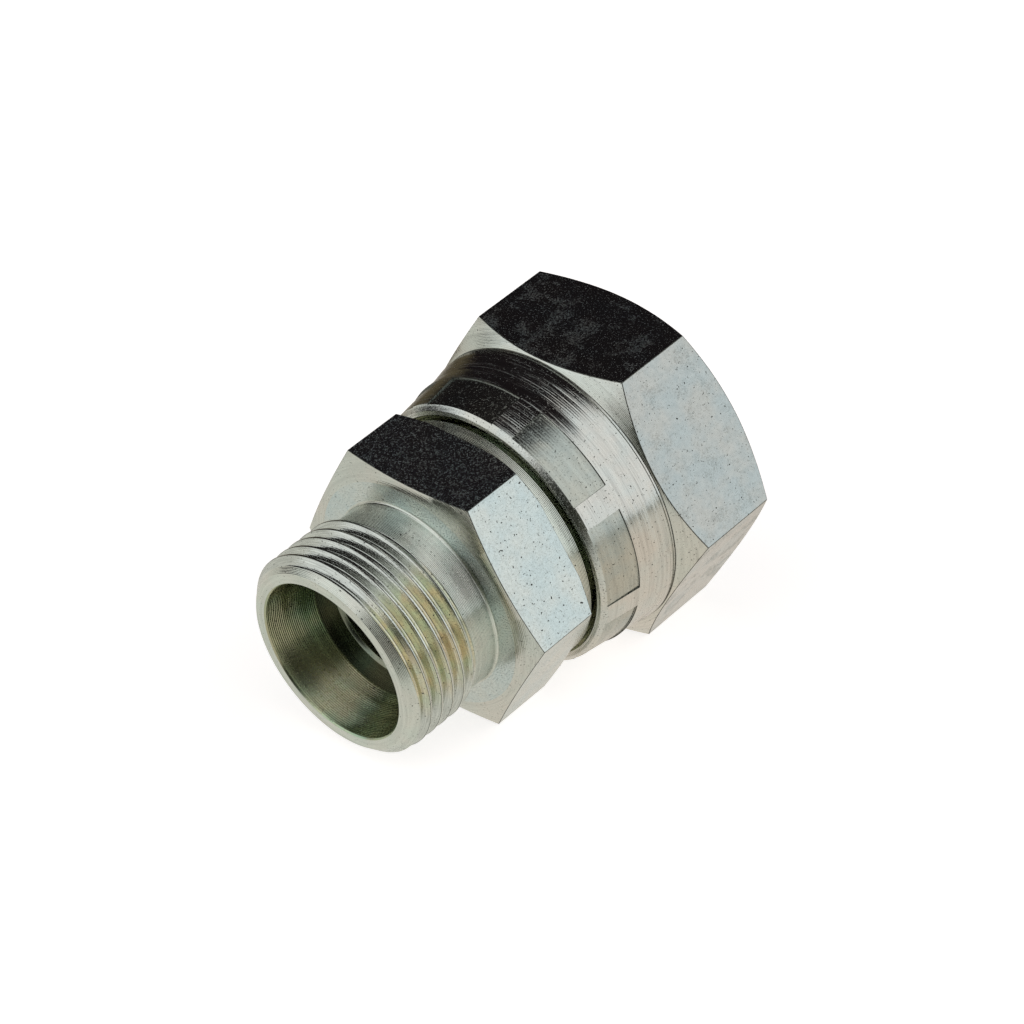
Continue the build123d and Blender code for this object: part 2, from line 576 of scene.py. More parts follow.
    def relief(self, tree: Tree, patterns: Patterns) -> Node:
        """Works out the relief: the feed's ridges, the uneven lines and the specks.

        Args:
            tree: the node tree.
            patterns: what it is mixed from.

        Returns:
            The normal.
        """
        spacing, depth = self.feed
        turn = 2 * math.pi / spacing
        angle = add(tree, "Math", {0: patterns.across, 1: turn}, operation="MULTIPLY")
        wave = add(tree, "Math", {0: angle}, operation="SINE")
        ridge = add(tree, "Math", {0: wave, 1: patterns.bands}, operation="MULTIPLY")
        height = add(tree, "Math", {0: ridge, 1: depth}, operation="MULTIPLY")
        for pattern, depth in (
            (patterns.scratches, self.scratches[1]),
            (patterns.bands, 2 * self.scratches[1]),
            (patterns.specks, self.specks[2]),
        ):
            scaled = add(tree, "Math", {0: pattern, 1: depth}, operation="MULTIPLY")
            height = add(tree, "Math", {0: height, 1: scaled}, operation="ADD")
        return add(tree, "Bump", {"Height": height, "Strength": 1.0, "Distance": MM})

    def film_and_painted_sheen_mask(self, tree: Tree, bench: Feed) -> Union[Node, float]:
        """Works out how strong the film is, which may keep to one side of the piece as a painted
        sheen.

        Args:
            tree: the node tree.
            bench: places on the bench.

        Returns:
            The film's share, the same everywhere or a mask.
        """
        if self.painted_sheen_angle is None:
            return self.film_share
        flat = add(tree, "VectorMath", {0: bench, 1: (1, 1, 0)}, operation="MULTIPLY")
        out = add(tree, "VectorMath", {0: flat}, operation="NORMALIZE")
        middle = heading(-self.painted_sheen_angle, 0.0)
        edge = 0.4 * self.painted_sheen_reach
        return within(tree, out, middle, self.painted_sheen_reach, edge, self.film_share)

    def bench_place(self, tree: Tree) -> Node:
        """Finds each point's place on the bench.

        Args:
            tree: the node tree.

        Returns:
            The place, in millimetres.
        """
        location, rotation, _ = BENCH_TO_FRAME.decompose()
        return add(
            tree,
            "Mapping",
            {
                "Vector": add(tree, "TexCoord").outputs["Object"],
                "Location": location,
                "Rotation": rotation.to_euler(),
                "Scale": (MM, MM, MM),
            },
            vector_type="TEXTURE",
        )

    def mark_place(self, tree: Tree, bench: Feed) -> tuple[Feed, Feed]:
        """Works out places in which the marks are straight.

        Args:
            tree: the node tree.
            bench: places on the bench.

        Returns:
            The distance across the marks, and a place that changes slowly along them.
        """
        east, north, station = add(tree, "SeparateXYZ", {0: bench}).outputs
        if not self.ringed:
            return station, bench
        flat = add(tree, "CombineXYZ", {"X": east, "Y": north})
        radius = add(tree, "VectorMath", {0: flat}, operation="LENGTH")
        # On a turned skin either the station or the radius changes, and on a cone both do.
        slant = add(tree, "Math", {0: radius, 1: self.face_share}, operation="MULTIPLY")
        across = add(tree, "Math", {0: station, 1: slant}, operation="ADD")
        turn = add(tree, "Math", {0: north, 1: east}, operation="ARCTAN2")
        slow_turn = add(tree, "Math", {0: turn, 1: self.turn_share}, operation="MULTIPLY")
        return across, add(tree, "CombineXYZ", {"X": station, "Y": radius, "Z": slow_turn})

    @staticmethod
    def cover(tree: Tree, noise: Feed, share: float, edge: float) -> Node:
        """Turns noise to a mask that covers about a share of the surface.

        Args:
            tree: the node tree.
            noise: the noise.
            share: the share that the mask covers.
            edge: how far the noise rises from no mask to full mask.

        Returns:
            The mask.
        """
        threshold = NOISE_MAX - (NOISE_MAX - NOISE_MIN) * share
        first, last = threshold - edge / 2, threshold + edge / 2
        return add(tree, "MapRange", {"Value": noise, "From Min": first, "From Max": last})


# Cold-drawn bar is flat and even: a soft mirror with a blue cast, fine grey specks and a few pits.
BODY_BAR = PlatedSteel(
    name="zinc_plated_drawn_bar",
    tint="D2DBD6",
    films=("CAD8D8", "DADDD6"),
    roughness=0.18,
    ringed=False,
    film_share=0.6,
    scratches=(0.4, 0.001),
    specks=(0.16, 0.33, 0.004),
    dull_roughness=0.46,
    pits=(0.3, 0.02),
)
# Drawn bar that rubbed against other parts: greyer, and the mirror is broken by dull scuffs.
NUT_BAR = PlatedSteel(
    name="zinc_plated_rubbed_bar",
    tint="BFC4C0",
    films=("B7C2C2", "C4C3BC"),
    roughness=0.17,
    ringed=False,
    film_share=0.6,
    scratches=(0.5, 0.001),
    specks=(0.18, 0.24, 0.006),
    scuff_share=0.38,
    pits=(0.25, 0.01),
)
# Faced with a fine feed: light gathers in streaks that run out from the axis.
FACED = PlatedSteel(
    name="zinc_plated_faced_steel",
    tint="D8DAD2",
    films=("D0D7CE", "DAD6CB"),
    roughness=0.15,
    film_size=6.0,
    feed=(0.16, 0.007),
    scratches=(0.3, 0.012),
    painted_line_shade=0.16,
    line_dull=0.2,
    specks=(0.2, 0.2, 0.002),
    dull_roughness=0.45,
)
# Turned with an even feed: fine ribs, which spread reflections along the axis.
TURNED = PlatedSteel(
    name="zinc_plated_turned_steel",
    tint="DEE1D8",
    films=("D4DDD0", "DEDBCE"),
    roughness=0.18,
    feed=(0.16, 0.015),
    painted_line_shade=0.15,
    line_dull=0.08,
    dull_roughness=0.45,
)
# Turned with a coarse feed: uneven rings, which break reflections into long dark and bright lines,
# with painted shade and painted light in their colour.
RINGED = PlatedSteel(
    name="zinc_plated_rough_turned_steel",
    tint="DADCD4",
    films=("D0D6D2", "DED6CC"),
    roughness=0.15,
    feed=(0.26, 0.006),
    scratches=(0.22, 0.035),
    painted_line_shade=0.24,
    line_dull=0.3,
    pits=(0.22, 0.015),
)
# Cut thread: smooth bright flanks, with a yellow film that is real in colour but painted strong on
# one side only, as a painted sheen where the iridescence catches the light.
THREADED = PlatedSteel(
    name="zinc_plated_cut_thread",
    tint="D2D5CD",
    films=("D3DAB4", "E6D2A6"),
    roughness=0.12,
    film_share=0.62,
    film_size=2.5,
    painted_sheen_angle=156.0,
    feed=(0.2, 0.002),
    scratches=(0.12, 0.003),
    painted_line_shade=0.3,
    specks=(0.12, 0.3, 0.006),
    dull_roughness=0.35,
    pits=(0.22, 0.02),
)
# Bored cone: plain ribs under a thicker film, which looks olive where it is in shade.
BORED = PlatedSteel(
    name="zinc_plated_bored_cone",
    tint="BCCAB0",
    films=("A4BC9E", "C8BC98"),
    roughness=0.22,
    film_share=0.7,
    film_size=6.0,
    feed=(0.17, 0.018),
    painted_line_shade=0.2,
)
# Painted shade: down a hole or in a corner the zinc is painted dark grey, as shade falls there.
DEEP_PAINTED_SHADE = PlatedSteel(
    name="zinc_plated_painted_shade_in_a_hole",
    tint="868C7C",
    films=("7C8878", "908A74"),
    roughness=0.24,
    feed=(0.2, 0.01),
)
# Pressed by the crimping jaws: the turned lines are flattened, and the mark is a shade darker.
PRESSED = PlatedSteel(
    name="zinc_plated_pressed_skirt",
    tint="BEC2B8",
    films=("AEB8B4", "C4C0B2"),
    roughness=0.22,
    feed=(0.3, 0.004),
    scratches=(0.3, 0.015),
    painted_line_shade=0.16,
    specks=(0.2, 0.25, 0.004),
    pits=(0.22, 0.02),
)
# Rolled inwards by the dies: bright, with a fine peel and small pits that glitter.
ROLLED = PlatedSteel(
    name="zinc_plated_rolled_lip",
    tint="DCDED6",
    films=("D2D8D4", "DCD8CC"),
    roughness=0.22,
    painted_line_shade=0.18,
    specks=(0.2, 0.3, 0.015),
    dull_roughness=0.4,
    pits=(0.16, 0.1),
)
# Edges that were broken or scuffed: the zinc is rubbed thin, so they read as thin dark lines. The
# same dark finish is painted shade on the thread's crest edges and on the jaw marks' steep walls.
WORN_EDGE_AND_PAINTED_SHADE = PlatedSteel(
    name="zinc_plated_broken_edge_and_painted_shade",
    tint="747670",
    films=("6C706C", "7A766C"),
    roughness=0.45,
    ringed=False,
    specks=(0.2, 0.35, 0.03),
    dull_roughness=0.6,
    pits=(0.2, 0.3),
)


# ---- threads


@dataclass
class Thread:
    """A metric thread, cut by a tool that follows a helix.

    Widths are shares of the pitch, and depths are shares of the sharp triangle's height.
    """

    diameter: float
    pitch: float
    start: float  # station of the first groove
    end: float  # station where the tool has left the metal
    inside: bool = False
    half_root: float = 0.085
    half_groove: float = 0.43
    depth: float = 0.66
    inside_crest: float = 0.625  # depth at which an inside thread's crests are bored
    root_rounding: float = 0.9  # of half the root's width
    edge: float = 0.07  # rounding of the crest's edges, in millimetres
    lead_width: float = 0.035  # the tool's lead on to the crest, in millimetres
    lead_depth: float = 0.004
    past: float = 0.25  # how far the tool stands out of the metal, in millimetres

    def tool(self, material: Material) -> Piece:
        """Makes the thread tool's sweep.

        Args:
            material: the finish that the tool leaves.

        Returns:
            The swept solid that is cut away.
        """
        into = 1 if self.inside else -1
        height = SHARP_HEIGHT * self.pitch
        crest = self.diameter / 2 - (height * self.inside_crest if self.inside else 0)
        root = self.half_root * self.pitch
        groove = self.half_groove * self.pitch
        flank = [
            Corner(root, crest + into * height * self.depth, root * self.root_rounding),
            Corner(groove, crest, self.edge),
            Corner(groove + self.lead_width, crest - into * self.lead_depth),
            Corner(groove + self.lead_width, crest - into * self.past),
        ]
        corners = [
            Corner(self.start + side * corner.station, corner.radius, corner.rounding)
            for side, half in ((-1, flank), (1, flank[::-1]))
            for corner in half
        ]
        turns = math.ceil((self.end - self.start) / self.pitch)
        tool = helix(corners, self.pitch, turns, material)
        # Painted shade: the crest's edges get the dark edge finish, as thin shade lines beside the
        # crests.
        scuffed = 1.2 * self.edge
        refinish(
            tool,
            WORN_EDGE_AND_PAINTED_SHADE.material(),
            lambda face: abs(face.center.xy.length - crest) < scuffed,
        )
        return tool


# ---- hexagons


@dataclass
class HexagonPiece:
    """What both pieces share: hexagon bar with its corners chamfered at both ends."""

    name: str
    bar: PlatedSteel
    across_flats: float
    hex_start: float
    hex_end: float
    hex_face_radius: float
    hex_chamfer_angle: float
    end_face_radius: float
    end_chamfer_angle: float
    core_radius: float  # hole through the blank before it is bored
    edge: float  # width of the broken edges
    edge_angle: float  # degrees between two faces from which their edge is broken
    overrun: float = 1.0  # how far tools run past the metal
    thread_pitch: float = 1.5

    def hexagon_bar(self) -> Piece:
        """Cuts a length of hexagon bar, with a flat towards +Y.

        Returns:
            The bar.
        """
        bpy.ops.object.select_all(action="DESELECT")
        bpy.ops.mesh.primitive_circle_add(
            vertices=6,
            radius=self.across_flats / 2 / HEX_CORNER,
            fill_type="NGON",
            location=(0, 0, self.hex_start),
            rotation=(0, 0, math.radians(30)),
        )
        bar = bpy.context.object
        bar.name = self.name
        bpy.ops.object.transform_apply()
        bpy.ops.object.mode_set(mode="EDIT")
        bpy.ops.mesh.select_all(action="SELECT")
        length = Vector((0, 0, self.hex_end - self.hex_start))
        bpy.ops.mesh.extrude_region_move(TRANSFORM_OT_translate={"value": length})
        return close_up(bar, self.bar.material())

    def hexagon_blank(self) -> Piece:
        """Chamfers the bar's corners and breaks its edges.

        Returns:
            The blank.
        """
        blank = self.hexagon_bar()
        outer = self.across_flats / 2 / HEX_CORNER + self.overrun
        slope = math.tan(math.radians(self.hex_chamfer_angle))
        end_slope = math.tan(math.radians(self.end_chamfer_angle))
        cones = turned(
            [
                Corner(self.hex_start, self.core_radius),
                Corner(self.hex_start, self.hex_face_radius),
                Corner(self.hex_start + (outer - self.hex_face_radius) * slope, outer),
                Corner(self.hex_end - (outer - self.end_face_radius) * end_slope, outer),
                Corner(self.hex_end, self.end_face_radius),
                Corner(self.hex_end, self.core_radius),
            ],
            FACED.material(),
            start=HALF_FACET,
        )
        work(blank, cones, Cut.KEEP_COMMON)
        blank.data.materials.append(WORN_EDGE_AND_PAINTED_SHADE.material())
        edge = blank.modifiers.new("edge", "BEVEL")
        edge.width = self.edge
        edge.segments = 2
        edge.limit_method = "ANGLE"
        edge.angle_limit = math.radians(self.edge_angle)
        edge.use_clamp_overlap = False
        edge.material = len(blank.data.materials) - 1
        bpy.ops.object.modifier_apply(modifier=edge.name)
        return blank


# ---- adapter body


@dataclass
class AdapterBody(HexagonPiece):
    """The one-piece body: stud with cone and socket, hexagon, collar, and the nut's flange."""

    name: str = "adapter_body_dressed"
    bar: PlatedSteel = BODY_BAR
    across_flats: float = 27.0
    hex_start: float = 12.0
    hex_end: float = 20.3
    hex_face_radius: float = 12.5
    hex_chamfer_angle: float = 15.0
    end_face_radius: float = 14.1
    end_chamfer_angle: float = 28.0
    core_radius: float = 4.0
    edge: float = 0.05
    edge_angle: float = 20.0
    stud_radius: float = 11.0
    rim_radius: float = 9.85
    rim_rounding: float = 0.12
    crest_rounding: float = 0.1
    runout_rounding: float = 0.08
    neck_rounding: float = 0.2
    chamfer_end: float = 1.15
    thread_end: float = 7.8
    neck_start: float = 8.26
    neck_radius: float = 10.2
    neck_fillet: float = 0.35
    collar_radius: float = 13.45
    collar_end: float = 21.85
    collar_rounding: float = 0.15
    groove_radius: float = 12.0
    groove_rounding: float = 0.2
    slope_start: float = 24.45
    flange_radius: float = 13.0
    flange_start: float = 25.45
    flange_end: float = 29.3
    flange_rounding: float = 0.15
    nose_radius: float = 11.888
    nose_break: float = 0.5
    nose_rounding: float = 0.06
    seal_face: float = 31.5
    mouth_radius: float = 8.65
    mouth_break: float = 0.15
    cone_depth: float = 5.41
    tube_radius: float = 7.5
    socket_depth: float = 7.0
    bore_radius: float = 6.0
    bore_break: float = 0.4
    bore_rounding: float = 0.1
    stop_break: float = 0.35  # chamfer of the step that stops the tube
    step_cut: float = 0.1  # depth that the drill takes off the socket's step
    tuck: float = 0.02  # how far one surface is sunk in another that it meets
    thread_lead: float = -0.95  # station of the thread's first groove
    thread_runout: float = 0.9  # how far the thread tool runs past the start of the neck

    def turned_part(self) -> Piece:
        """Turns the stud, neck, collar, groove, flange and nose as one ring.

        Returns:
            The ring, with the cone, socket and bore inside.
        """
        part = turned(
            [
                Corner(0, self.core_radius),
                Corner(0, self.rim_radius, self.rim_rounding),
                Corner(self.chamfer_end, self.stud_radius, self.crest_rounding),
                Corner(self.thread_end, self.stud_radius, self.runout_rounding),
                Corner(self.neck_start, self.neck_radius, self.neck_rounding),
                Corner(self.hex_start + self.tuck, self.neck_radius, self.neck_fillet),
                Corner(self.hex_start + self.tuck, self.neck_radius + 2 * self.neck_fillet),
                Corner(self.hex_start + self.overrun, self.groove_radius),
                Corner(self.hex_end - self.overrun, self.groove_radius - self.groove_rounding),
                Corner(self.hex_end - self.overrun, self.collar_radius),
                Corner(self.collar_end, self.collar_radius, self.collar_rounding),
                Corner(self.collar_end, self.groove_radius, self.groove_rounding),
                Corner(self.slope_start, self.groove_radius, self.groove_rounding),
                Corner(self.flange_start, self.flange_radius, self.flange_rounding),
                Corner(self.flange_end, self.flange_radius, self.flange_rounding),
                Corner(self.flange_end, self.nose_radius, self.flange_rounding),
                Corner(self.seal_face - self.nose_break, self.nose_radius, self.nose_rounding),
                Corner(self.seal_face, self.nose_radius - self.nose_break, self.nose_rounding),
                Corner(self.seal_face, self.core_radius),
            ],
            TURNED.material(),
        )
        # Painted shade: the corner where the thread tool ran out is painted darker, as shade falls
        # in it.
        refinish(
            part,
            DEEP_PAINTED_SHADE.material(),
            lambda face: self.thread_end < face.center.z < self.neck_start + self.neck_rounding / 2,
        )
        return part

    def mouth_tool(self) -> Piece:
        """Makes the solid that is bored out for the cone and the tube socket.

        Returns:
            The bore, as a ring about a thin core that the turned part leaves open.
        """
        core = self.core_radius / 2
        return turned(
            [
                Corner(-self.overrun, core),
                Corner(-self.overrun, self.mouth_radius + self.mouth_break),
                Corner(0, self.mouth_radius + self.mouth_break),
                Corner(self.mouth_break, self.mouth_radius),
                Corner(self.cone_depth, self.tube_radius, self.bore_rounding),
                Corner(self.cone_depth + 3 * self.step_cut, self.tube_radius),
                Corner(self.cone_depth + 3 * self.step_cut, core),
            ],
            BORED.material(),
        )

    def bore_tool(self) -> Piece:
        """Makes the solid that is drilled out for the flow, with the step that stops the tube.

        Returns:
            The bore, as a ring about a thin core that the turned part leaves open.
        """
        core = self.core_radius / 2
        return turned(
            [
                Corner(self.cone_depth + self.step_cut, core),
                Corner(self.cone_depth + self.step_cut, self.tube_radius - self.tuck),
                Corner(self.cone_depth + 2 * self.step_cut, self.tube_radius + self.tuck / 2),
                Corner(self.socket_depth, self.tube_radius + self.tuck / 2),
                Corner(self.socket_depth, self.bore_radius + self.stop_break, self.bore_rounding),
                Corner(self.socket_depth + self.stop_break, self.bore_radius, self.bore_rounding),
                Corner(self.seal_face - self.bore_break, self.bore_radius),
                Corner(self.seal_face, self.bore_radius + self.bore_break),
                Corner(self.seal_face + self.overrun, self.bore_radius + self.bore_break),
                Corner(self.seal_face + self.overrun, core),
            ],
            # Painted shade: the socket and bore are painted darker, as shade falls in them.
            DEEP_PAINTED_SHADE.material(),
        )

    def build(self) -> None:
        """Builds the body, cuts its thread and lays it in the frame."""
        piece = self.hexagon_blank()
        work(piece, self.turned_part(), Cut.ADD)
        work(piece, self.mouth_tool(), Cut.REMOVE)
        work(piece, self.bore_tool(), Cut.REMOVE)
        runout = self.neck_start + self.thread_runout
        thread = Thread(2 * self.stud_radius, self.thread_pitch, self.thread_lead, runout)
        work(piece, thread.tool(THREADED.material()), Cut.REMOVE)
        lay_in_frame(piece, "body", "adapter_body")


# ---- swivel nut


@dataclass
class SwivelNut(HexagonPiece):
    """The crimped nut: lip and skirt with jaw marks, ringed barrel, hexagon and inside thread."""

    name: str = "swivel_nut_dressed"
    bar: PlatedSteel = NUT_BAR
    across_flats: float = 32.0
    hex_start: float = 31.4
    hex_end: float = 44.0
    hex_face_radius: float = 15.78
    hex_chamfer_angle: float = 34.0
    end_face_radius: float = 15.2
    end_chamfer_angle: float = 30.0
    core_radius: float = 11.3
    edge: float = 0.06
    edge_angle: float = 25.0
    start: float = 22.25
    lip_radius: float = 14.65
    lip_break: float = 0.45
    roll_middle: float = 0.8  # place of the rolled corner's middle, as a share of lip_break
    roll_end: float = 1.4  # and of its end
    roll_drop: float = 0.1  # depth of its middle below the lip
    roll_rise: float = 0.2  # height of its end above the lip
    roll_rounding: float = 0.3
    jaw_end: float = 26.7
    skirt_radius: float = 15.3
    skirt_end: float = 28.2
    barrel_radius: float = 15.8
    barrel_land: float = 0.8
    ring_count: int = 9
    ring_depths: tuple[float, ...] = (0.01, 0.015, 0.02)  # in turn
    ring_shares: tuple[float, float] = (0.35, 0.65)  # of a ring's width: its crest and its groove
    undercut_start: float = 0.35  # how far before the hexagon the groove beside it begins
    undercut_middle: float = 0.2
    undercut_depth: float = 0.08
    undercut_rounding: float = 0.1
    undercut_overlap: float = 0.1  # how far it runs on inside the hexagon
    undercut_end_depth: float = 0.06
    lip_mouth_radius: float = 13.75
    lip_bore_radius: float = 12.3
    lip_end: float = 24.45
    chamber_radius: float = 13.1
    thread_diameter: float = 26.0
    thread_start: float = 31.8
    thread_core_radius: float = 12.188
    entry_radius: float = 13.2
    jaw_count: int = 8
    jaw_arc: float = 35.0
    jaw_depth_front: float = 0.06
    jaw_depth_back: float = 0.15
    jaw_rounding: float = 0.06
    jaw_start_angle: float = -10.0
    steep: float = 0.7  # share of a wall's slope that faces outwards, below which it is steep

    def barrel(self) -> Piece:
        """Turns the lip, skirt and barrel, with the deeper rings that the tool left.

        Returns:
            The barrel as a ring that runs on into the hexagon.
        """
        undercut_end = self.barrel_radius - self.undercut_end_depth
        return turned(
            [
                Corner(self.start, self.core_radius),
                Corner(self.start, self.lip_radius),
                Corner(self.jaw_end, self.skirt_radius),
                Corner(self.skirt_end, self.skirt_radius),
                *self.rings(),
                Corner(
                    self.hex_start - self.undercut_start, self.barrel_radius, self.undercut_rounding
                ),
                Corner(
                    self.hex_start - self.undercut_middle,
                    self.barrel_radius - self.undercut_depth,
                    self.undercut_rounding / 2,
                ),
                Corner(self.hex_start + self.undercut_overlap, undercut_end),
                Corner(self.hex_start + self.overrun, undercut_end),
                Corner(self.hex_start + self.overrun, self.core_radius),
            ],
            RINGED.material(),
        )

    def rings(self) -> list[Corner]:
        """Works out the ridges between the skirt and the hexagon.

        Returns:
            Corners that climb to the barrel's radius, ridge by ridge.
        """
        length = self.hex_start - self.barrel_land - self.skirt_end
        climb = self.barrel_radius - self.skirt_radius
        corners = []
        for ring in range(self.ring_count):
            groove = self.ring_depths[ring % len(self.ring_depths)]
            for share, drop in zip(self.ring_shares, (0.0, groove)):
                way = (ring + share) / self.ring_count
                station = self.skirt_end + length * way
                corners.append(Corner(station, self.skirt_radius + climb * way - drop))
        return corners

    def inside_tool(self) -> Piece:
        """Makes the solid that is bored out: lip, flange chamber, thread core and entry.

        Returns:
            The bore, as a ring about a thin core that lies in the open bore.
        """
        core = 2.0
        mouth_slope = self.lip_mouth_radius - self.lip_bore_radius
        return turned(
            [
                Corner(self.start - self.overrun, core),
                Corner(self.start - self.overrun, self.lip_mouth_radius),
                Corner(self.start, self.lip_mouth_radius),
                Corner(self.start + mouth_slope, self.lip_bore_radius),
                Corner(self.lip_end, self.lip_bore_radius),
                Corner(
                    self.lip_end + self.chamber_radius - self.lip_bore_radius,
                    self.chamber_radius,
                ),
                Corner(
                    self.thread_start - self.chamber_radius + self.thread_core_radius,
                    self.chamber_radius,
                ),
                Corner(self.thread_start, self.thread_core_radius),
                Corner(
                    self.hex_end - self.entry_radius + self.thread_core_radius,
                    self.thread_core_radius,
                ),
                Corner(self.hex_end, self.entry_radius),
                Corner(self.hex_end + self.overrun, self.entry_radius),
                Corner(self.hex_end + self.overrun, core),
            ],
            BORED.material(),
        )

    def lip_tool(self) -> Piece:
        """Makes the ring that takes the lip's outer corner off, where the dies rolled it in.

        Returns:
            The ring.
        """
        outside = self.skirt_radius + self.overrun
        middle = self.start + self.roll_middle * self.lip_break
        end = self.start + self.roll_end * self.lip_break
        return turned(
            [
                Corner(self.start - self.overrun, self.lip_radius - self.lip_break),
                Corner(self.start, self.lip_radius - self.lip_break, self.roll_rounding / 2),
                Corner(middle, self.lip_radius - self.roll_drop, self.roll_rounding),
                Corner(end, self.lip_radius + self.roll_rise),
                Corner(end, outside),
                Corner(self.start - self.overrun, outside),
            ],
            ROLLED.material(),
        )

    def jaw_tool(self, number: int) -> Piece:
        """Makes the sector that one crimping jaw presses out of the skirt.

        Args:
            number: which jaw.

        Returns:
            The sector.
        """
        middle = UPPER_FLAT_ANGLE + self.jaw_start_angle + number * 360 / self.jaw_count
        tool = turned(
            [
                Corner(self.start - self.overrun, self.lip_radius - self.jaw_depth_front),
                Corner(self.start, self.lip_radius - self.jaw_depth_front),
                Corner(self.jaw_end, self.skirt_radius - self.jaw_depth_back, self.jaw_rounding),
                Corner(self.jaw_end, self.skirt_radius + self.overrun),
                Corner(self.start - self.overrun, self.skirt_radius + self.overrun),
            ],
            PRESSED.material(),
            sweep=self.jaw_arc,
            start=middle - self.jaw_arc / 2,
        )
        # Painted shade: the mark's steep walls get the dark edge finish, as the shade at its
        # outline.
        refinish(
            tool,
            WORN_EDGE_AND_PAINTED_SHADE.material(),
            lambda face: abs(face.normal.dot(face.center.xy.to_3d().normalized())) < self.steep,
        )
        return tool

    def build(self) -> None:
        """Builds the nut, cuts its thread, presses its skirt and lays it in the frame."""
        piece = self.hexagon_blank()
        work(piece, self.barrel(), Cut.ADD)
        for number in range(self.jaw_count):
            work(piece, self.jaw_tool(number), Cut.REMOVE)
        work(piece, self.lip_tool(), Cut.REMOVE)
        work(piece, self.inside_tool(), Cut.REMOVE)
        first, last = self.thread_start + self.overrun, self.hex_end + self.overrun
        thread = Thread(self.thread_diameter, self.thread_pitch, first, last, inside=True)
        work(piece, thread.tool(THREADED.material()), Cut.REMOVE)
        lay_in_frame(piece, "nut", "swivel_nut")


# ---- studio


@dataclass(frozen=True)
class DarkShape:
    """Something dark in the white surroundings, as the metal mirrors it. Angles are degrees."""

    azimuth: float
    elevation: float
    reach: float
    edge: float
    colour: str
    side: Optional[float] = None  # azimuth of the upright half space that it keeps to

    def share(self, tree: Tree, way: Feed) -> Node:
        """Works out how much of the shape lies in a direction.

        Args:
            tree: the node tree.
            way: directions, one unit long.

        Returns:
            A share from 0 to 1.
        """
        inside = within(tree, way, heading(self.azimuth, self.elevation), self.reach, self.edge)
        if self.side is None:
            return inside
        half = within(tree, way, heading(self.side, 0.0), 90.0, self.edge)
        return add(tree, "Math", {0: inside, 1: half}, operation="MULTIPLY")


@dataclass(frozen=True)
class PaintedFloorShade:
    """Painted shade on part of the floor as the metal shows it. Angles are degrees, and distances
    metres.
    """

    azimuth: float
    reach: float
    first: float  # distance from the fitting up to which there is none of it
    last: float  # distance from which it is full
    colour: str
    edge: float = 16.0


CEILING = DarkShape(
    azimuth=-60.0, elevation=35.0, reach=60.0, edge=6.5, colour="1C181A", side=-27.0
)
OPERATOR = DarkShape(azimuth=135.0, elevation=15.0, reach=34.0, edge=8.0, colour="262822")
PAINTED_FLOOR_SHADES = (
    PaintedFloorShade(-26.0, 62.0, 0.02, 0.11, "57503F"),  # painted shade at the far end, behind the fitting
    PaintedFloorShade(OPERATOR.azimuth, 38.0, 0.04, 0.11, "484A42"),  # painted shadow below the operator
    PaintedFloorShade(56.0, 44.0, 0.12, 0.5, "8E8E86"),  # painted shade far off at the right
)


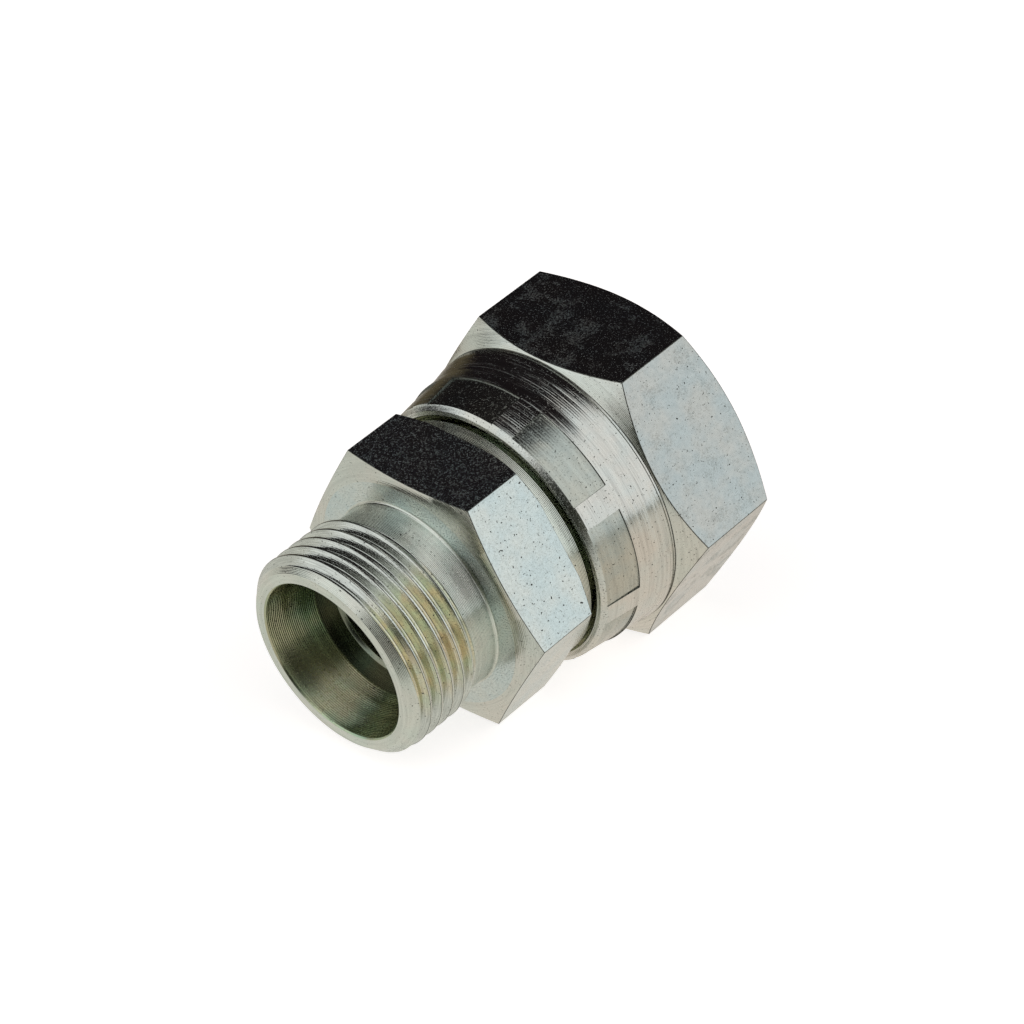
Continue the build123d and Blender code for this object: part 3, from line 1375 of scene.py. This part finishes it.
@dataclass
class Studio:
    """A pale floor, white surroundings with a dark ceiling behind the fitting, and the camera."""

    target: tuple[float, float, float] = (1.721, -1.248, 17.179)  # mm
    distance: float = 345.24  # mm
    azimuth: float = -46.697
    elevation: float = 34.407
    roll: float = 1.163
    lens: float = 125.42
    surroundings: str = "F6F9FB"
    white: str = "FFFFFF"
    floor_size: float = 4.0  # metres
    floor_paper: str = "E6DDD8"
    lift: float = 0.74  # light added to the floor as the camera sees it
    stud_painted_shade: str = "D8D8D2"  # how the floor looks in the metal at the stud, darkened as painted shade
    stud_end: float = -0.03  # place along X, in metres
    nut_paper: str = "E2DAD0"  # at the nut, where the painted shade has faded
    nut_end: float = 0.01

    def camera(self) -> None:
        """Sets the camera on the sphere round its target."""
        back = Vector(heading(90 - self.azimuth, self.elevation))
        data = bpy.data.cameras.new("camera")
        data.lens = self.lens
        data.clip_start, data.clip_end = 0.01, 10.0
        camera = bpy.data.objects.new("camera", data)
        bpy.context.collection.objects.link(camera)
        camera.rotation_mode = "QUATERNION"
        turn = Matrix.Rotation(math.radians(self.roll), 3, -back).to_quaternion()
        camera.rotation_quaternion = turn @ (-back).to_track_quat("-Z", "Y")
        camera.location = (Vector(self.target) + back * self.distance) * MM
        bpy.context.scene.camera = camera

    def world(self) -> None:
        """Lights the fitting from white surroundings with a few dark shapes in them."""
        world = bpy.data.worlds.new("studio")
        bpy.context.scene.world = world
        world.use_nodes = True
        tree = world.node_tree
        tree.nodes.clear()
        way = add(tree, "TexCoord").outputs["Generated"]
        path = add(tree, "LightPath")
        colour: Any = linear(self.surroundings)
        for share, other in (
            *((shape.share(tree, way), shape.colour) for shape in (CEILING, OPERATOR)),
            (path.outputs["Is Camera Ray"], self.white),
        ):
            mixed = {0: share, 6: colour, 7: linear(other)}
            colour = add(tree, "Mix", mixed, data_type="RGBA")
        background = add(tree, "Background", {"Color": colour, "Strength": 1.0})
        add(tree, "OutputWorld", {"Surface": background})

    def floor(self) -> None:
        """Lays a pale floor that the camera sees as white, with the fitting's shadow on it, and
        that glows with painted shade in the metal.
        """
        bpy.ops.object.select_all(action="DESELECT")
        bpy.ops.mesh.primitive_plane_add(size=self.floor_size)
        floor = bpy.context.object
        floor.name = "floor"
        material = bpy.data.materials.new("pale_paper")
        material.use_nodes = True
        tree = material.node_tree
        tree.nodes.clear()
        path = add(tree, "LightPath")
        paper = add(tree, "BsdfDiffuse", {"Color": linear(self.floor_paper)})
        seen = path.outputs["Is Camera Ray"]
        strength = add(tree, "Math", {0: seen, 1: self.lift}, operation="MULTIPLY")
        lift = add(tree, "Emission", {"Color": linear(self.white), "Strength": strength})
        lifted = add(tree, "AddShader", {0: paper, 1: lift})
        tone = self.painted_floor_shade(tree)
        # Glossy rays see the floor glow with painted shade, in place of the lit paper and its real
        # shadow.
        painted_floor_glow = add(tree, "Emission", {"Color": tone, "Strength": 1.0})
        both = add(
            tree, "MixShader", {0: path.outputs["Is Glossy Ray"], 1: lifted, 2: painted_floor_glow}
        )
        add(tree, "OutputMaterial", {"Surface": both})
        floor.data.materials.append(material)

    def painted_floor_shade(self, tree: Tree) -> Node:
        """Works out the floor's glow as the metal mirrors it, with painted shade near the stud, far
        off and below the operator.

        Args:
            tree: the floor's node tree.

        Returns:
            The glowing colour, with its painted shade.
        """
        place = add(tree, "TexCoord").outputs["Object"]
        way = add(tree, "VectorMath", {0: place}, operation="NORMALIZE")
        distance = add(tree, "VectorMath", {0: place}, operation="LENGTH")
        share = rise(tree, add(tree, "SeparateXYZ", {0: place}), self.stud_end, self.nut_end)
        papers = {0: share, 6: linear(self.stud_painted_shade), 7: linear(self.nut_paper)}
        tone = add(tree, "Mix", papers, data_type="RGBA")
        for part in PAINTED_FLOOR_SHADES:
            far = rise(tree, distance, part.first, part.last)
            near = within(tree, way, heading(part.azimuth, 0.0), part.reach, part.edge)
            share = add(tree, "Math", {0: far, 1: near}, operation="MULTIPLY")
            mixed = {0: share, 6: tone, 7: linear(part.colour)}
            tone = add(tree, "Mix", mixed, data_type="RGBA")
        return tone

    def build(self) -> None:
        """Sets up the camera, the light and the floor, and plain colour handling."""
        self.camera()
        self.world()
        self.floor()
        bpy.context.scene.view_settings.view_transform = "Standard"


def main() -> None:
    """Builds the fitting and its studio."""
    logging.basicConfig(level=logging.INFO, format="%(name)s: %(message)s")
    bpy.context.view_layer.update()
    Studio().build()
    AdapterBody().build()
    SwivelNut().build()


if __name__ == "__main__":
    main()
